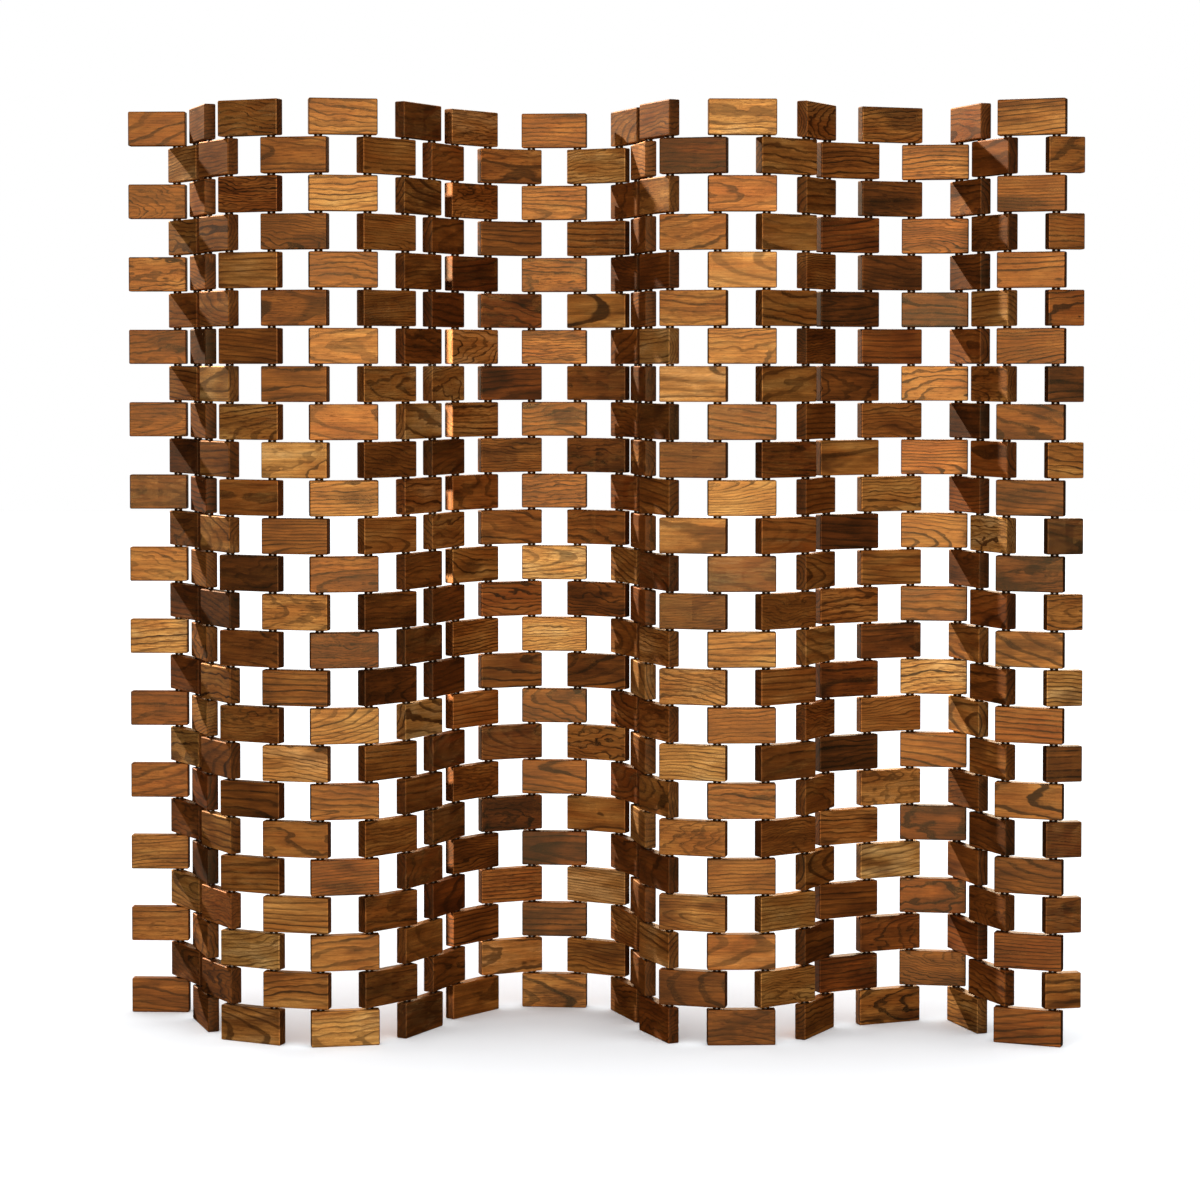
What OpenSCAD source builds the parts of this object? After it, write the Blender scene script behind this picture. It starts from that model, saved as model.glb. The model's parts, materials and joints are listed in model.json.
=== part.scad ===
// Folding screen of wooden blocks threaded on upright steel rods.
// The blocks stand in brick bond: every block is pierced near both ends, so each rod
// joins two neighbouring columns and is the pin of the hinge between them.
// Millimetres, X along the screen, Y towards its back, Z up from the floor.

/* [Blocks] */
// Length of a full block
block_length = 132; // [112:1:160]
// Height of a block, the rise of one row without its gap
block_height = 69; // [50:1:90]
// Thickness of a block, front to back
block_thickness = 23; // [21:1:32]
// Radius of the eased edges
edge_radius = 2.5; // [1:0.5:4]
// Distance from a rod's axis to the end of the block it pierces
overhang = 19; // [14:1:26]
// Length of the blocks in the first column, at the left
first_length = 116; // [80:1:150]
// Length of the blocks in the last column, at the right
last_length = 73; // [60:1:150]

/* [Rods] */
// Diameter of the upright rods
rod_diameter = 8; // [6:0.5:10]
// Gap between a rod and the bore it turns in, measured on the radius
rod_clearance = 0.05; // [0.02:0.01:0.1]
// How far the rod's ends lie below the faces of the outermost blocks
rod_setback = 2; // [1:0.5:3]

/* [Spacers] */
// Outer diameter of the spacer rings between the rows
spacer_diameter = 16; // [13:0.5:19]
// Thickness of a spacer ring
spacer_thickness = 3.9; // [2:0.1:8]
// Gap left above and below each spacer so that the blocks turn freely
spacer_play = 0.05; // [0.02:0.01:0.2]
// Gap between the rod and what is slipped over it, measured on the radius
slip_clearance = 0.2; // [0.1:0.05:0.4]
// Bevel on the edges of the spacer rings
spacer_bevel = 0.5; // [0.2:0.1:0.8]

/* [Rod ends] */
// Diameter of the recess that hides each nut
recess_diameter = 18; // [17.5:0.5:19]
// Depth of that recess
recess_depth = 12; // [11:1:20]
// Width of the nut across its flats
nut_width = 13; // [11:0.5:14]
// Height of the nut
nut_height = 6.5; // [4:0.5:7]
// Thickness of the plain washer under the nut
washer_thickness = 1.6; // [1:0.1:2.5]

/* [Screen] */
// Number of rows of blocks, an odd number
rows = 25; // [11:2:31]
// Share of the drawn fold: 1 stands in waves, 0 is straight
fold = 1; // [0:0.05:1]

/* [Hidden] */
$fn = 48;
// Heading of each column seen from above, in degrees: 0 runs along the screen,
// negative comes to the front. Read by eye from the standing screen, column by column.
headings = [
    -2, -57, -69, -57, -24, -12, 10,
    44, 60, 64, 48, 22, -5, -26,
    -67, -78, -65, -15, 2, 33, 60,
    25, 20, -8, -70, -65, -20, 11
];
columns = len(headings);
axes = columns - 1;
pairs = columns / 2;
rod_spacing = block_length - 2 * overhang;
row_gap = spacer_thickness + 2 * spacer_play;
row_pitch = block_height + row_gap;
screen_height = rows * row_pitch - row_gap;
bore_diameter = rod_diameter + 2 * rod_clearance;
slip_diameter = rod_diameter + 2 * slip_clearance;
// How far a cutting tool runs past the face it opens
cut = 1;
wood_tones = [
    "#8a5a33", "#6e4426", "#94663a", "#7c4a2b", "#a17243", "#5f3a22", "#855334"
];
steel_tone = "#3d3a38";

function two_digits(n) = n < 10 ? str("0", n) : str(n);
function foot_name(n) = str("foot_column_", two_digits(n));
function hung_name(n) = str("hung_column_", two_digits(n));
function rod_name(n) = str("hinge_rod_", two_digits(n));

// ---- plan of the folded chain ----

function along(column) = [
    cos(fold * headings[column - 1]),
    sin(fold * headings[column - 1])
];
function across(column) = [-along(column)[1], along(column)[0]];
function column_length(column) =
    column == 1 ? first_length :
    column == columns ? last_length :
    block_length;

// Rod axes counted from the first one, which is the start of the chain
function chain_point(axis) =
    axis == 1 ? [0, 0] : chain_point(axis - 1) + rod_spacing * along(axis);

// Middle of a column: its inner end reaches one overhang past the rod
function chain_middle(column) =
    column == 1
        ? chain_point(1) + (overhang - first_length / 2) * along(1)
        : chain_point(column - 1)
            + (column_length(column) / 2 - overhang) * along(column);

// Centres of the four rounded corners of a column, seen from above
function corner_centres(column) = [
    for (end = [-1, 1], side = [-1, 1])
        chain_middle(column)
            + end * (column_length(column) / 2 - edge_radius) * along(column)
            + side * (block_thickness / 2 - edge_radius) * across(column)
];
all_corners = [for (column = [1:columns]) each corner_centres(column)];
corner_x = [for (corner = all_corners) corner[0]];
corner_y = [for (corner = all_corners) corner[1]];
plan_centre = [
    (min(corner_x) + max(corner_x)) / 2,
    (min(corner_y) + max(corner_y)) / 2
];

function axis_point(axis) = chain_point(axis) - plan_centre;
function column_middle(column) = chain_middle(column) - plan_centre;

// Where a column's rods pierce it, measured along it from its middle
function bore_places(column) =
    column == 1 ? [first_length / 2 - overhang] :
    column == columns ? [overhang - last_length / 2] :
    [-rod_spacing / 2, rod_spacing / 2];

// ---- wooden blocks ----

module rounded_outline(width, height) {
    square([width - 2 * edge_radius, height], center = true);
    square([width, height - 2 * edge_radius], center = true);
    for (x = [-1, 1], y = [-1, 1])
        translate([x * (width / 2 - edge_radius), y * (height / 2 - edge_radius)])
            circle(edge_radius);
}

// A block with every edge eased, centred on its own middle
module eased_block(length) {
    intersection() {
        linear_extrude(block_height, center = true)
            rounded_outline(length, block_thickness);
        rotate([90, 0, 0])
            linear_extrude(block_thickness, center = true)
                rounded_outline(length, block_height);
        rotate([90, 0, 90])
            linear_extrude(length, center = true)
                rounded_outline(block_thickness, block_height);
    }
}

// One block with its bores; an outermost block also has a recess for each nut
module block(column, row) {
    difference() {
        eased_block(column_length(column));
        for (place = bore_places(column)) {
            translate([place, 0, 0])
                cylinder(d = bore_diameter, h = block_height + 2 * cut, center = true);
            if (row == rows)
                translate([place, 0, block_height / 2 - recess_depth])
                    cylinder(d = recess_diameter, h = recess_depth + cut);
            if (row == 1)
                translate([place, 0, -block_height / 2 - cut])
                    cylinder(d = recess_diameter, h = recess_depth + cut);
        }
    }
}

// Rows count up from the floor: a foot column fills the odd rows, a hung one the even
module column(column, first_row) {
    for (row = [first_row:2:rows])
        color(wood_tones[(3 * row + 5 * column) % len(wood_tones)])
            translate([
                column_middle(column)[0],
                column_middle(column)[1],
                (row - 1) * row_pitch + block_height / 2
            ])
                rotate([0, 0, fold * headings[column - 1]])
                    block(column, row);
}

module foot_column(n) {
    column(2 * n - 1, 1);
}

module hung_column(n) {
    column(2 * n, 2);
}

// ---- rod with its spacers and nuts ----

module ring(diameter, bevel, thickness) {
    rotate_extrude()
        polygon([
            [slip_diameter / 2, 0],
            [diameter / 2 - bevel, 0],
            [diameter / 2, bevel],
            [diameter / 2, thickness - bevel],
            [diameter / 2 - bevel, thickness],
            [slip_diameter / 2, thickness]
        ]);
}

module nut() {
    difference() {
        cylinder(d = nut_width / cos(30), h = nut_height, $fn = 6);
        translate([0, 0, -cut])
            cylinder(d = bore_diameter, h = nut_height + 2 * cut);
    }
}

// Nut on its plain washer, standing on the floor of the recess
module rod_end() {
    translate([0, 0, spacer_play])
        ring(spacer_diameter, washer_thickness / 4, washer_thickness);
    translate([0, 0, 2 * spacer_play + washer_thickness])
        nut();
}

module hinge_rod(n) {
    color(steel_tone)
        translate([axis_point(n)[0], axis_point(n)[1], 0]) {
            translate([0, 0, rod_setback])
                cylinder(d = rod_diameter, h = screen_height - 2 * rod_setback);
            for (gap = [1:rows - 1])
                translate([0, 0, gap * row_pitch - row_gap + spacer_play])
                    ring(spacer_diameter, spacer_bevel, spacer_thickness);
            translate([0, 0, screen_height - recess_depth])
                rod_end();
            translate([0, 0, recess_depth])
                mirror([0, 0, 1])
                    rod_end();
        }
}

for (n = [1:pairs]) {
    foot_column(n);
    hung_column(n);
}
for (n = [1:axes])
    hinge_rod(n);
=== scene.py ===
# %% [markdown]
# # A folding screen of wooden blocks on steel rods
#
# The real screen is 25 rows of small hardwood blocks in brick bond. Every block is
# pierced near both ends, and upright steel rods run through the bores, so each rod is
# the hinge pin between two neighbouring columns of blocks. Dark steel rings on the
# rods keep the rows 4 mm apart.
#
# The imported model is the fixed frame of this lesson. It brings every column and rod in
# its real place, in metres. The cells below give each column eased edges, bores and
# grain, and each rod its rings, nuts and threads, and every new piece then moves with
# the body of the part that it stands for.

import json
import math

import bpy
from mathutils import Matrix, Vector


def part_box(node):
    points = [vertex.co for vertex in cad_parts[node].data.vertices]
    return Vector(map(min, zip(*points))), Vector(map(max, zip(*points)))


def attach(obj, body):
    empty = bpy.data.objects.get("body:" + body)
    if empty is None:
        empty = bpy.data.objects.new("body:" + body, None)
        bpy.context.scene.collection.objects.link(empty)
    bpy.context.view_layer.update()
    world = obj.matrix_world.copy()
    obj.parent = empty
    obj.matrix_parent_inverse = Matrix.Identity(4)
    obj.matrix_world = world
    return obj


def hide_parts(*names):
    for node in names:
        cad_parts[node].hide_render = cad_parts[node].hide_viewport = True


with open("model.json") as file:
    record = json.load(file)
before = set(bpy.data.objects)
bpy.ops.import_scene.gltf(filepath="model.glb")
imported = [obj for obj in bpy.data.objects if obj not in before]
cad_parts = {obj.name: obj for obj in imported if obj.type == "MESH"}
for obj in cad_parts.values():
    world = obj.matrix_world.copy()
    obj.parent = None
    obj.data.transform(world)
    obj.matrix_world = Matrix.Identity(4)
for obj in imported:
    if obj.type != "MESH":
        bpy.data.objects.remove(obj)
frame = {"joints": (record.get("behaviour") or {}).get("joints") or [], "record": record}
scene = bpy.context.scene
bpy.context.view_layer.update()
body_of = {
    node: body
    for body, nodes in frame["record"]["behaviour"]["bodies"].items()
    for node in nodes
}

# %% [markdown]
# ## Camera
#
# The photograph was taken almost level, from a height of 1.3 m and nearly 6 m away, with
# a long lens. The shift moves the view without tilting the camera, which keeps the rods
# upright in the picture, as a view camera does. Turning the camera down instead would
# make the rods lean towards each other.

# %% Camera at the photograph's viewing angle
CAMERA_PLACE = (0.011, -5.721, 1.312)
CAMERA_PITCH = math.radians(1.80)
CAMERA_LENS = 86.9
FRAME_SHIFT = -0.12

camera_data = bpy.data.cameras.new("camera")
camera_data.sensor_width = 36
camera_data.lens = CAMERA_LENS
camera_data.shift_y = FRAME_SHIFT
camera = bpy.data.objects.new("camera", camera_data)
camera.location = CAMERA_PLACE
camera.rotation_euler = (math.pi / 2 - CAMERA_PITCH, 0, 0)
scene.collection.objects.link(camera)
scene.camera = camera
scene.view_settings.view_transform = "Standard"
print("camera", tuple(camera.location), "lens", camera_data.lens)

# %% [markdown]
# ## A helper for node trees
#
# Geometry trees and material trees are both nodes and links. A helper that adds a node
# and fills its inputs, either with a value or with another node's output, keeps every
# tree readable from top to bottom, which clicking or long lists of links wouldn't. The
# shorter helpers after it are the steps that come back most: arithmetic on numbers and
# on vectors, and going from one to the other.


# %% Adding nodes
def add(tree, kind, inputs=None, **settings):
    """Adds a node. An input is filled with a value or linked to another node's output."""
    node = tree.nodes.new(kind)
    for name, value in settings.items():
        setattr(node, name, value)
    for key, value in (inputs or {}).items():
        if isinstance(value, bpy.types.NodeSocket):
            tree.links.new(value, node.inputs[key])
        else:
            node.inputs[key].default_value = value
    return node


def calc(tree, operation, *values):
    """One step of arithmetic on numbers."""
    return add(tree, "ShaderNodeMath", dict(enumerate(values)), operation=operation).outputs[0]


def vector_calc(tree, operation, *values):
    """One step of arithmetic on vectors."""
    node = add(tree, "ShaderNodeVectorMath", dict(enumerate(values)), operation=operation)
    return node.outputs["Value"] if operation == "LENGTH" else node.outputs["Vector"]


def combine(tree, x=0.0, y=0.0, z=0.0):
    """A vector from three numbers."""
    return add(tree, "ShaderNodeCombineXYZ", {0: x, 1: y, 2: z}).outputs[0]


def separate(tree, vector):
    """The three numbers of a vector."""
    return add(tree, "ShaderNodeSeparateXYZ", {0: vector}).outputs


print("helpers ready")

# %% [markdown]
# ## The room round the screen
#
# The photograph has a white studio. A white world would do for the picture, but it
# would also pour light on the wood from every side and wash out its browns. So what a
# ray is decides what it meets: camera rays see plain white, and the wood itself is lit
# by a very weak warm glow, as from the light that goes from block to block. Gloss sees
# only faint walls, because the oiled wood has much gloss, and white all round would
# fill its dark folds. The lamps can then stay at the level that the wood needs.

# %% World
world = bpy.data.worlds.new("studio")
world.use_nodes = True
scene.world = world
sky = world.node_tree
sky.nodes.clear()
rays = add(sky, "ShaderNodeLightPath").outputs


def backdrop(colour, strength):
    """A world colour at a strength."""
    inputs = {"Color": (*colour, 1), "Strength": strength}
    return add(sky, "ShaderNodeBackground", inputs).outputs[0]


glow = backdrop((1.0, 0.70, 0.45), 0.012)
walls = backdrop((1.0, 0.95, 0.9), 0.03)
white = backdrop((1.0, 1.0, 1.0), 1.0)
in_gloss = add(sky, "ShaderNodeMixShader", {0: rays["Is Glossy Ray"], 1: glow, 2: walls})
seen = add(sky, "ShaderNodeMixShader", {0: rays["Is Camera Ray"], 1: in_gloss.outputs[0], 2: white})
add(sky, "ShaderNodeOutputWorld", {"Surface": seen.outputs[0]})
print("world", len(sky.nodes), "nodes")

# %% [markdown]
# ## The floor
#
# The screen stands on pale seamless paper that runs out into the white. The camera
# sees its pale colour, with the soft shadow round the lowest blocks. Every other ray
# meets a dark one, because a white floor would throw light up at the undersides, which
# are dark in the photograph.

# %% Floor
FLOOR_SIZE = 40.0
PAPER_SEEN = (0.89, 0.90, 0.91, 1)
PAPER_ELSEWHERE = (0.03, 0.025, 0.02, 1)

bpy.ops.mesh.primitive_plane_add(size=FLOOR_SIZE, location=(0, 0, 0))
floor = bpy.context.object
floor.name = "floor"
floor_finish = bpy.data.materials.new("studio_floor")
floor_finish.use_nodes = True
paper = floor_finish.node_tree
paper.nodes.clear()
camera_ray = add(paper, "ShaderNodeLightPath").outputs["Is Camera Ray"]
paper_colours = {0: camera_ray, 6: PAPER_ELSEWHERE, 7: PAPER_SEEN}
paper_tone = add(paper, "ShaderNodeMix", paper_colours, data_type="RGBA")
paper_matt = add(paper, "ShaderNodeBsdfDiffuse", {"Color": paper_tone.outputs[2]})
add(paper, "ShaderNodeOutputMaterial", {"Surface": paper_matt.outputs[0]})
floor.data.materials.append(floor_finish)
print("floor", floor.dimensions[:])

# %% [markdown]
# ## The lamps
#
# Two lights make the picture. A hard one stands behind the screen on the left: the
# blocks shade each other from it, which gives the crisp patches on the faces that turn
# left. A sun lamp does that, because its shadows stay sharp over the whole width. The
# other is a soft one behind the camera, an area lamp, which the oiled faces that look
# forward send back as a glow. It is nearly three times as wide as the screen, so that
# faces that turn a little aside keep some of that glow.
#
# Three more help out. A spot gives one fold, the eleventh and twelfth columns, the
# pale ends that it has in the photograph. A wide weak sun from behind is what a pale
# room sends back: it keeps the back readable and leaves the blocks' right ends dark.
# The floor has its own very wide sun, so that it is pale without more light on the
# wood. Light linking says which lamp reaches which piece.


# %% Two helpers for lamps
def lamp(name, kind, place, aim, energy, **settings):
    """A lamp at place that points at aim."""
    data = bpy.data.lights.new(name, kind)
    data.energy = energy
    for key, value in settings.items():
        setattr(data, key, value)
    light = bpy.data.objects.new(name, data)
    light.location = place
    light.rotation_euler = (Vector(aim) - Vector(place)).to_track_quat("-Z", "Y").to_euler()
    light.visible_camera = False
    scene.collection.objects.link(light)
    return light


def reach(light, state, *pieces):
    """Lets a lamp light everything except these pieces (EXCLUDE) or only these (INCLUDE)."""
    linked = bpy.data.collections.new("reach_of_" + light.name)
    light.light_linking.receiver_collection = linked
    for index, piece in enumerate(pieces):
        linked.objects.link(piece)
        linked.collection_objects[index].light_linking.link_state = state


print("lamp helpers ready")

# %% The hard light and the soft light
SCREEN_MIDDLE = (0, 0, 0.9)
KEY_AZIMUTH, KEY_HEIGHT, KEY_DISTANCE = math.radians(134), math.radians(27), 6.0
KEY_STRENGTH, KEY_SPREAD = 6.6, math.radians(1.5)
SOFT_PLACE, SOFT_AIM = (-0.2, -6.2, 1.3), (0, 0, 1.0)
SOFT_POWER, SOFT_WIDTH, SOFT_HEIGHT = 440, 5.4, 3.2

key_place = (
    KEY_DISTANCE * math.cos(KEY_AZIMUTH) * math.cos(KEY_HEIGHT),
    KEY_DISTANCE * math.sin(KEY_AZIMUTH) * math.cos(KEY_HEIGHT),
    SCREEN_MIDDLE[2] + KEY_DISTANCE * math.sin(KEY_HEIGHT),
)
key = lamp(
    "key_left", "SUN", key_place, SCREEN_MIDDLE, KEY_STRENGTH,
    angle=KEY_SPREAD, color=(1.0, 0.9, 0.82),
)
soft = lamp(
    "soft_front", "AREA", SOFT_PLACE, SOFT_AIM, SOFT_POWER,
    shape="RECTANGLE", size=SOFT_WIDTH, size_y=SOFT_HEIGHT, color=(1.0, 0.96, 0.88),
)
reach(key, "EXCLUDE", floor)
reach(soft, "EXCLUDE", floor)
print("key at", [round(value, 2) for value in key_place], "soft at", SOFT_PLACE)

# %% The helping lights
BACK_PLACE, BACK_STRENGTH, BACK_SPREAD = (1.4, 4.8, 3.2), 1.6, math.radians(30)
ABOVE_PLACE, ABOVE_STRENGTH, ABOVE_SPREAD = (0, -0.3, 4.0), 4.9, math.radians(110)
SPOT_PLACE, SPOT_AIM = (-3.2, -1.35, 1.85), (-0.20, 0.10, 0.95)
SPOT_POWER, SPOT_WIDTH, SPOT_RIM, SPOT_SOFTNESS = 3200, math.radians(30), 0.3, 0.03

back_fill = lamp(
    "fill_back", "SUN", BACK_PLACE, SCREEN_MIDDLE, BACK_STRENGTH,
    angle=BACK_SPREAD, color=(1.0, 0.95, 0.88),
)
above = lamp(
    "floor_light", "SUN", ABOVE_PLACE, floor.location, ABOVE_STRENGTH,
    angle=ABOVE_SPREAD, color=(0.97, 0.985, 1.0),
)
spot = lamp(
    "spot_fold", "SPOT", SPOT_PLACE, SPOT_AIM, SPOT_POWER, spot_size=SPOT_WIDTH,
    spot_blend=SPOT_RIM, shadow_soft_size=SPOT_SOFTNESS, color=(1.0, 0.88, 0.8),
)
reach(back_fill, "EXCLUDE", floor)
reach(above, "INCLUDE", floor)

# %% [markdown]
# ## The blocks
#
# A real block is sawn, drilled through at both ends and sanded until its edges are
# soft. A cube with a bevel modifier would do for one block, but there are 350 in three
# lengths, some with a wide recess for a nut. They follow a rule, so one geometry tree
# makes a whole column from named sizes: it eases one block, drills it, sets it on a
# line of points two rows apart and turns the line to the column's place.

# %% Sizes of the wood, in metres
BLOCK_LENGTH, BLOCK_HEIGHT, BLOCK_THICKNESS = 0.132, 0.069, 0.023
FIRST_LENGTH, LAST_LENGTH = 0.116, 0.073
EDGE_RADIUS = 0.0025
OVERHANG = 0.019
ROW_GAP = 0.004
ROW_PITCH = BLOCK_HEIGHT + ROW_GAP
ROWS = 25
SCREEN_HEIGHT = ROWS * ROW_PITCH - ROW_GAP
BORE_RADIUS = 0.00405
RECESS_RADIUS, RECESS_DEPTH = 0.009, 0.012
CUT = 0.002  # how far a cutter reaches past the wood
BORE_SIDES, RECESS_SIDES = 12, 24
print("screen height", round(SCREEN_HEIGHT, 4))


# %% A tree with named inputs
def new_tree(name, **inputs):
    """A geometry tree with its named inputs. Returns the tree and the inputs' sockets."""
    tree = bpy.data.node_groups.new(name, "GeometryNodeTree")
    sockets = tree.interface
    sockets.new_socket("Geometry", in_out="OUTPUT", socket_type="NodeSocketGeometry")
    for key, kind in inputs.items():
        sockets.new_socket(key.replace("_", " "), in_out="INPUT", socket_type="NodeSocket" + kind)
    source = tree.nodes.new("NodeGroupInput")
    return tree, {key: source.outputs[key.replace("_", " ")] for key in inputs}


print("a tree gets its inputs by name")


# %% Running a tree
def grow(name, tree, finish, **values):
    """Runs a tree with these values and returns its result as a plain mesh object."""
    seed = bpy.data.objects.new(name + "_seed", bpy.data.meshes.new(name + "_seed"))
    scene.collection.objects.link(seed)
    sockets = {
        item.name: item.identifier
        for item in tree.interface.items_tree if item.in_out == "INPUT"
    }
    modifier = seed.modifiers.new("tree", "NODES")
    modifier.node_group = tree
    for key, value in values.items():
        modifier[sockets[key.replace("_", " ")]] = value
    modifier[sockets["Finish"]] = finish
    smooth = seed.modifiers.new("even_shading", "WEIGHTED_NORMAL")
    smooth.keep_sharp = True
    grown = seed.evaluated_get(bpy.context.evaluated_depsgraph_get())
    mesh = bpy.data.meshes.new_from_object(grown)
    bpy.data.objects.remove(seed)
    piece = bpy.data.objects.new(name, mesh)
    mesh.name = name
    scene.collection.objects.link(piece)
    return piece


print("a tree's result becomes a plain mesh")

# %% [markdown]
# ## Easing and drilling one block
#
# The block starts as a cube with four vertices along each edge. Each vertex is sent to
# the inner box that is one edge radius smaller, and from there one radius outwards
# along every side that it belongs to. Flat faces stay flat, and edges and corners turn
# round in 54 faces, as many as a bevel of two steps has. The bores are drilled inside
# the tree, which has no bevel node, and a bevel modifier after it would ease their rims
# too.

# %% Easing a block
NUDGE = (0.1, 0.1, 0.1)  # a share just under 1 still counts as 1


def eased_block(tree, length, thickness, height, radius):
    """A block centred on its own middle with every edge rounded."""
    size = combine(tree, length, thickness, height)
    vertices = {"Vertices X": 4, "Vertices Y": 4, "Vertices Z": 4}
    cube = add(tree, "GeometryNodeMeshCube", {"Size": size, **vertices})
    place = add(tree, "GeometryNodeInputPosition").outputs[0]
    half = vector_calc(tree, "MULTIPLY", size, (0.5, 0.5, 0.5))
    inner = vector_calc(tree, "SUBTRACT", half, combine(tree, radius, radius, radius))
    sign = vector_calc(tree, "SIGN", place)
    share = vector_calc(tree, "ABSOLUTE", vector_calc(tree, "DIVIDE", place, half))
    outside = vector_calc(tree, "FLOOR", vector_calc(tree, "ADD", share, NUDGE))
    direction = vector_calc(tree, "NORMALIZE", vector_calc(tree, "MULTIPLY", outside, sign))
    outwards = add(tree, "ShaderNodeVectorMath", {0: direction, "Scale": radius}, operation="SCALE")
    corner = vector_calc(tree, "MULTIPLY", inner, sign)
    moved = vector_calc(tree, "ADD", corner, outwards.outputs[0])
    eased = add(tree, "GeometryNodeSetPosition", {"Geometry": cube.outputs[0], "Position": moved})
    return eased.outputs[0], inner


print("edges eased by", EDGE_RADIUS, "m")


# %% Drilling
def moved_by(tree, geometry, offset):
    """The geometry at another place."""
    inputs = {"Geometry": geometry, "Translation": offset}
    return add(tree, "GeometryNodeTransform", inputs).outputs[0]


def joined(tree, *parts):
    """Several parts in one geometry."""
    whole = add(tree, "GeometryNodeJoinGeometry")
    for part in parts:
        tree.links.new(part, whole.inputs[0])
    return whole.outputs[0]


def round_cutter(tree, sides, radius, depth, places, level):
    """Upright cylinders at these distances along the block, their middle at this height."""
    shape = {"Vertices": sides, "Radius": radius, "Depth": depth}
    cylinder = add(tree, "GeometryNodeMeshCylinder", shape).outputs[0]
    offsets = (combine(tree, place, 0.0, level) for place in places)
    return joined(tree, *(moved_by(tree, cylinder, offset) for offset in offsets))


def cut_away(tree, solid, cutter):
    """The solid without what the cutter covers."""
    node = add(tree, "GeometryNodeMeshBoolean", operation="DIFFERENCE", solver="EXACT")
    tree.links.new(solid, node.inputs["Mesh 1"])
    tree.links.new(cutter, node.inputs["Mesh 2"])
    return node.outputs[0]


print("bores", BORE_RADIUS, "recesses", RECESS_RADIUS)

# %% [markdown]
# ## What the grain needs to know
#
# Wood is a solid pattern that runs along each block, so the material has to know where
# a point lies in its own block, not in the room. The tree keeps that place, which faces
# are end grain, where the eased edges are, and a number that differs from block to
# block, so that one material can give 350 blocks a figure of their own. Object
# coordinates alone would run one figure through a whole column, like a sawn plank.

# %% Marks for the material
EDGE_SHARE = 0.3  # of the edge radius, where a vertex counts as on the rounding
END_SLOPE = 0.8  # how squarely a face must look along the block to count as its end
ON_AN_EDGE = 1.5  # a vertex on more sides than this is on an edge or a corner


def store(tree, geometry, name, value, kind="FLOAT", domain="POINT"):
    """Keeps a value on the mesh under a name that the material can read."""
    inputs = {"Geometry": geometry, "Name": name, "Value": value}
    kept = add(tree, "GeometryNodeStoreNamedAttribute", inputs, data_type=kind, domain=domain)
    return kept.outputs[0]


def mark_block(tree, block, inner, radius):
    """Keeps the place in the block, the eased edges and the end grain."""
    place = add(tree, "GeometryNodeInputPosition").outputs[0]
    block = store(tree, block, "grain", place, "FLOAT_VECTOR")
    beyond = vector_calc(tree, "SUBTRACT", vector_calc(tree, "ABSOLUTE", place), inner)
    limit = calc(tree, "MULTIPLY", radius, EDGE_SHARE)
    x, y, z = (calc(tree, "GREATER_THAN", part, limit) for part in separate(tree, beyond))
    sides = calc(tree, "ADD", calc(tree, "ADD", x, y), z)
    block = store(tree, block, "eased_edge", calc(tree, "GREATER_THAN", sides, ON_AN_EDGE))
    normal = add(tree, "GeometryNodeInputNormal").outputs[0]
    across = calc(tree, "ABSOLUTE", separate(tree, normal)[0])
    is_end = calc(tree, "GREATER_THAN", across, END_SLOPE)
    return store(tree, block, "end_grain", is_end, domain="FACE")


print("marks: grain, eased_edge, end_grain")

# %% [markdown]
# ## From one block to a column
#
# A column needs three kinds of block: plain ones, one with its recesses below for the
# bottom, and one with them above for the top. Points on a line say where blocks go,
# two rows apart, because the rows between belong to the neighbours. A selection puts
# each kind on its own points, so the line is made once. An array modifier with end caps
# could stack them too, but it needs each kind as an object of its own.


# %% The three kinds of block
def kinds_of_block(tree, size):
    """A plain block, one with recesses below and one with recesses above."""
    height, edge = size["Block_Height"], size["Edge_Radius"]
    block, inner = eased_block(tree, size["Block_Length"], size["Block_Thickness"], height, edge)
    through = calc(tree, "ADD", height, CUT)
    places = (size["Left_Bore"], size["Right_Bore"])
    bores = round_cutter(tree, BORE_SIDES, size["Bore_Radius"], through, places, 0.0)
    block = cut_away(tree, block, bores)
    above = calc(tree, "MULTIPLY", calc(tree, "SUBTRACT", through, size["Recess_Depth"]), 0.5)
    below = calc(tree, "MULTIPLY", above, -1.0)
    depth = calc(tree, "ADD", size["Recess_Depth"], CUT)
    kinds = [block]
    for level in (below, above):
        cutter = round_cutter(tree, RECESS_SIDES, size["Recess_Radius"], depth, places, level)
        kinds.append(cut_away(tree, block, cutter))
    return [mark_block(tree, kind, inner, edge) for kind in kinds]


print("kinds of block: plain, lowest, highest")

# %% Stacking them
NUMBERS_PER_COLUMN = 100.0
NEAR = 0.1  # whole numbers closer than this are the same


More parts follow.
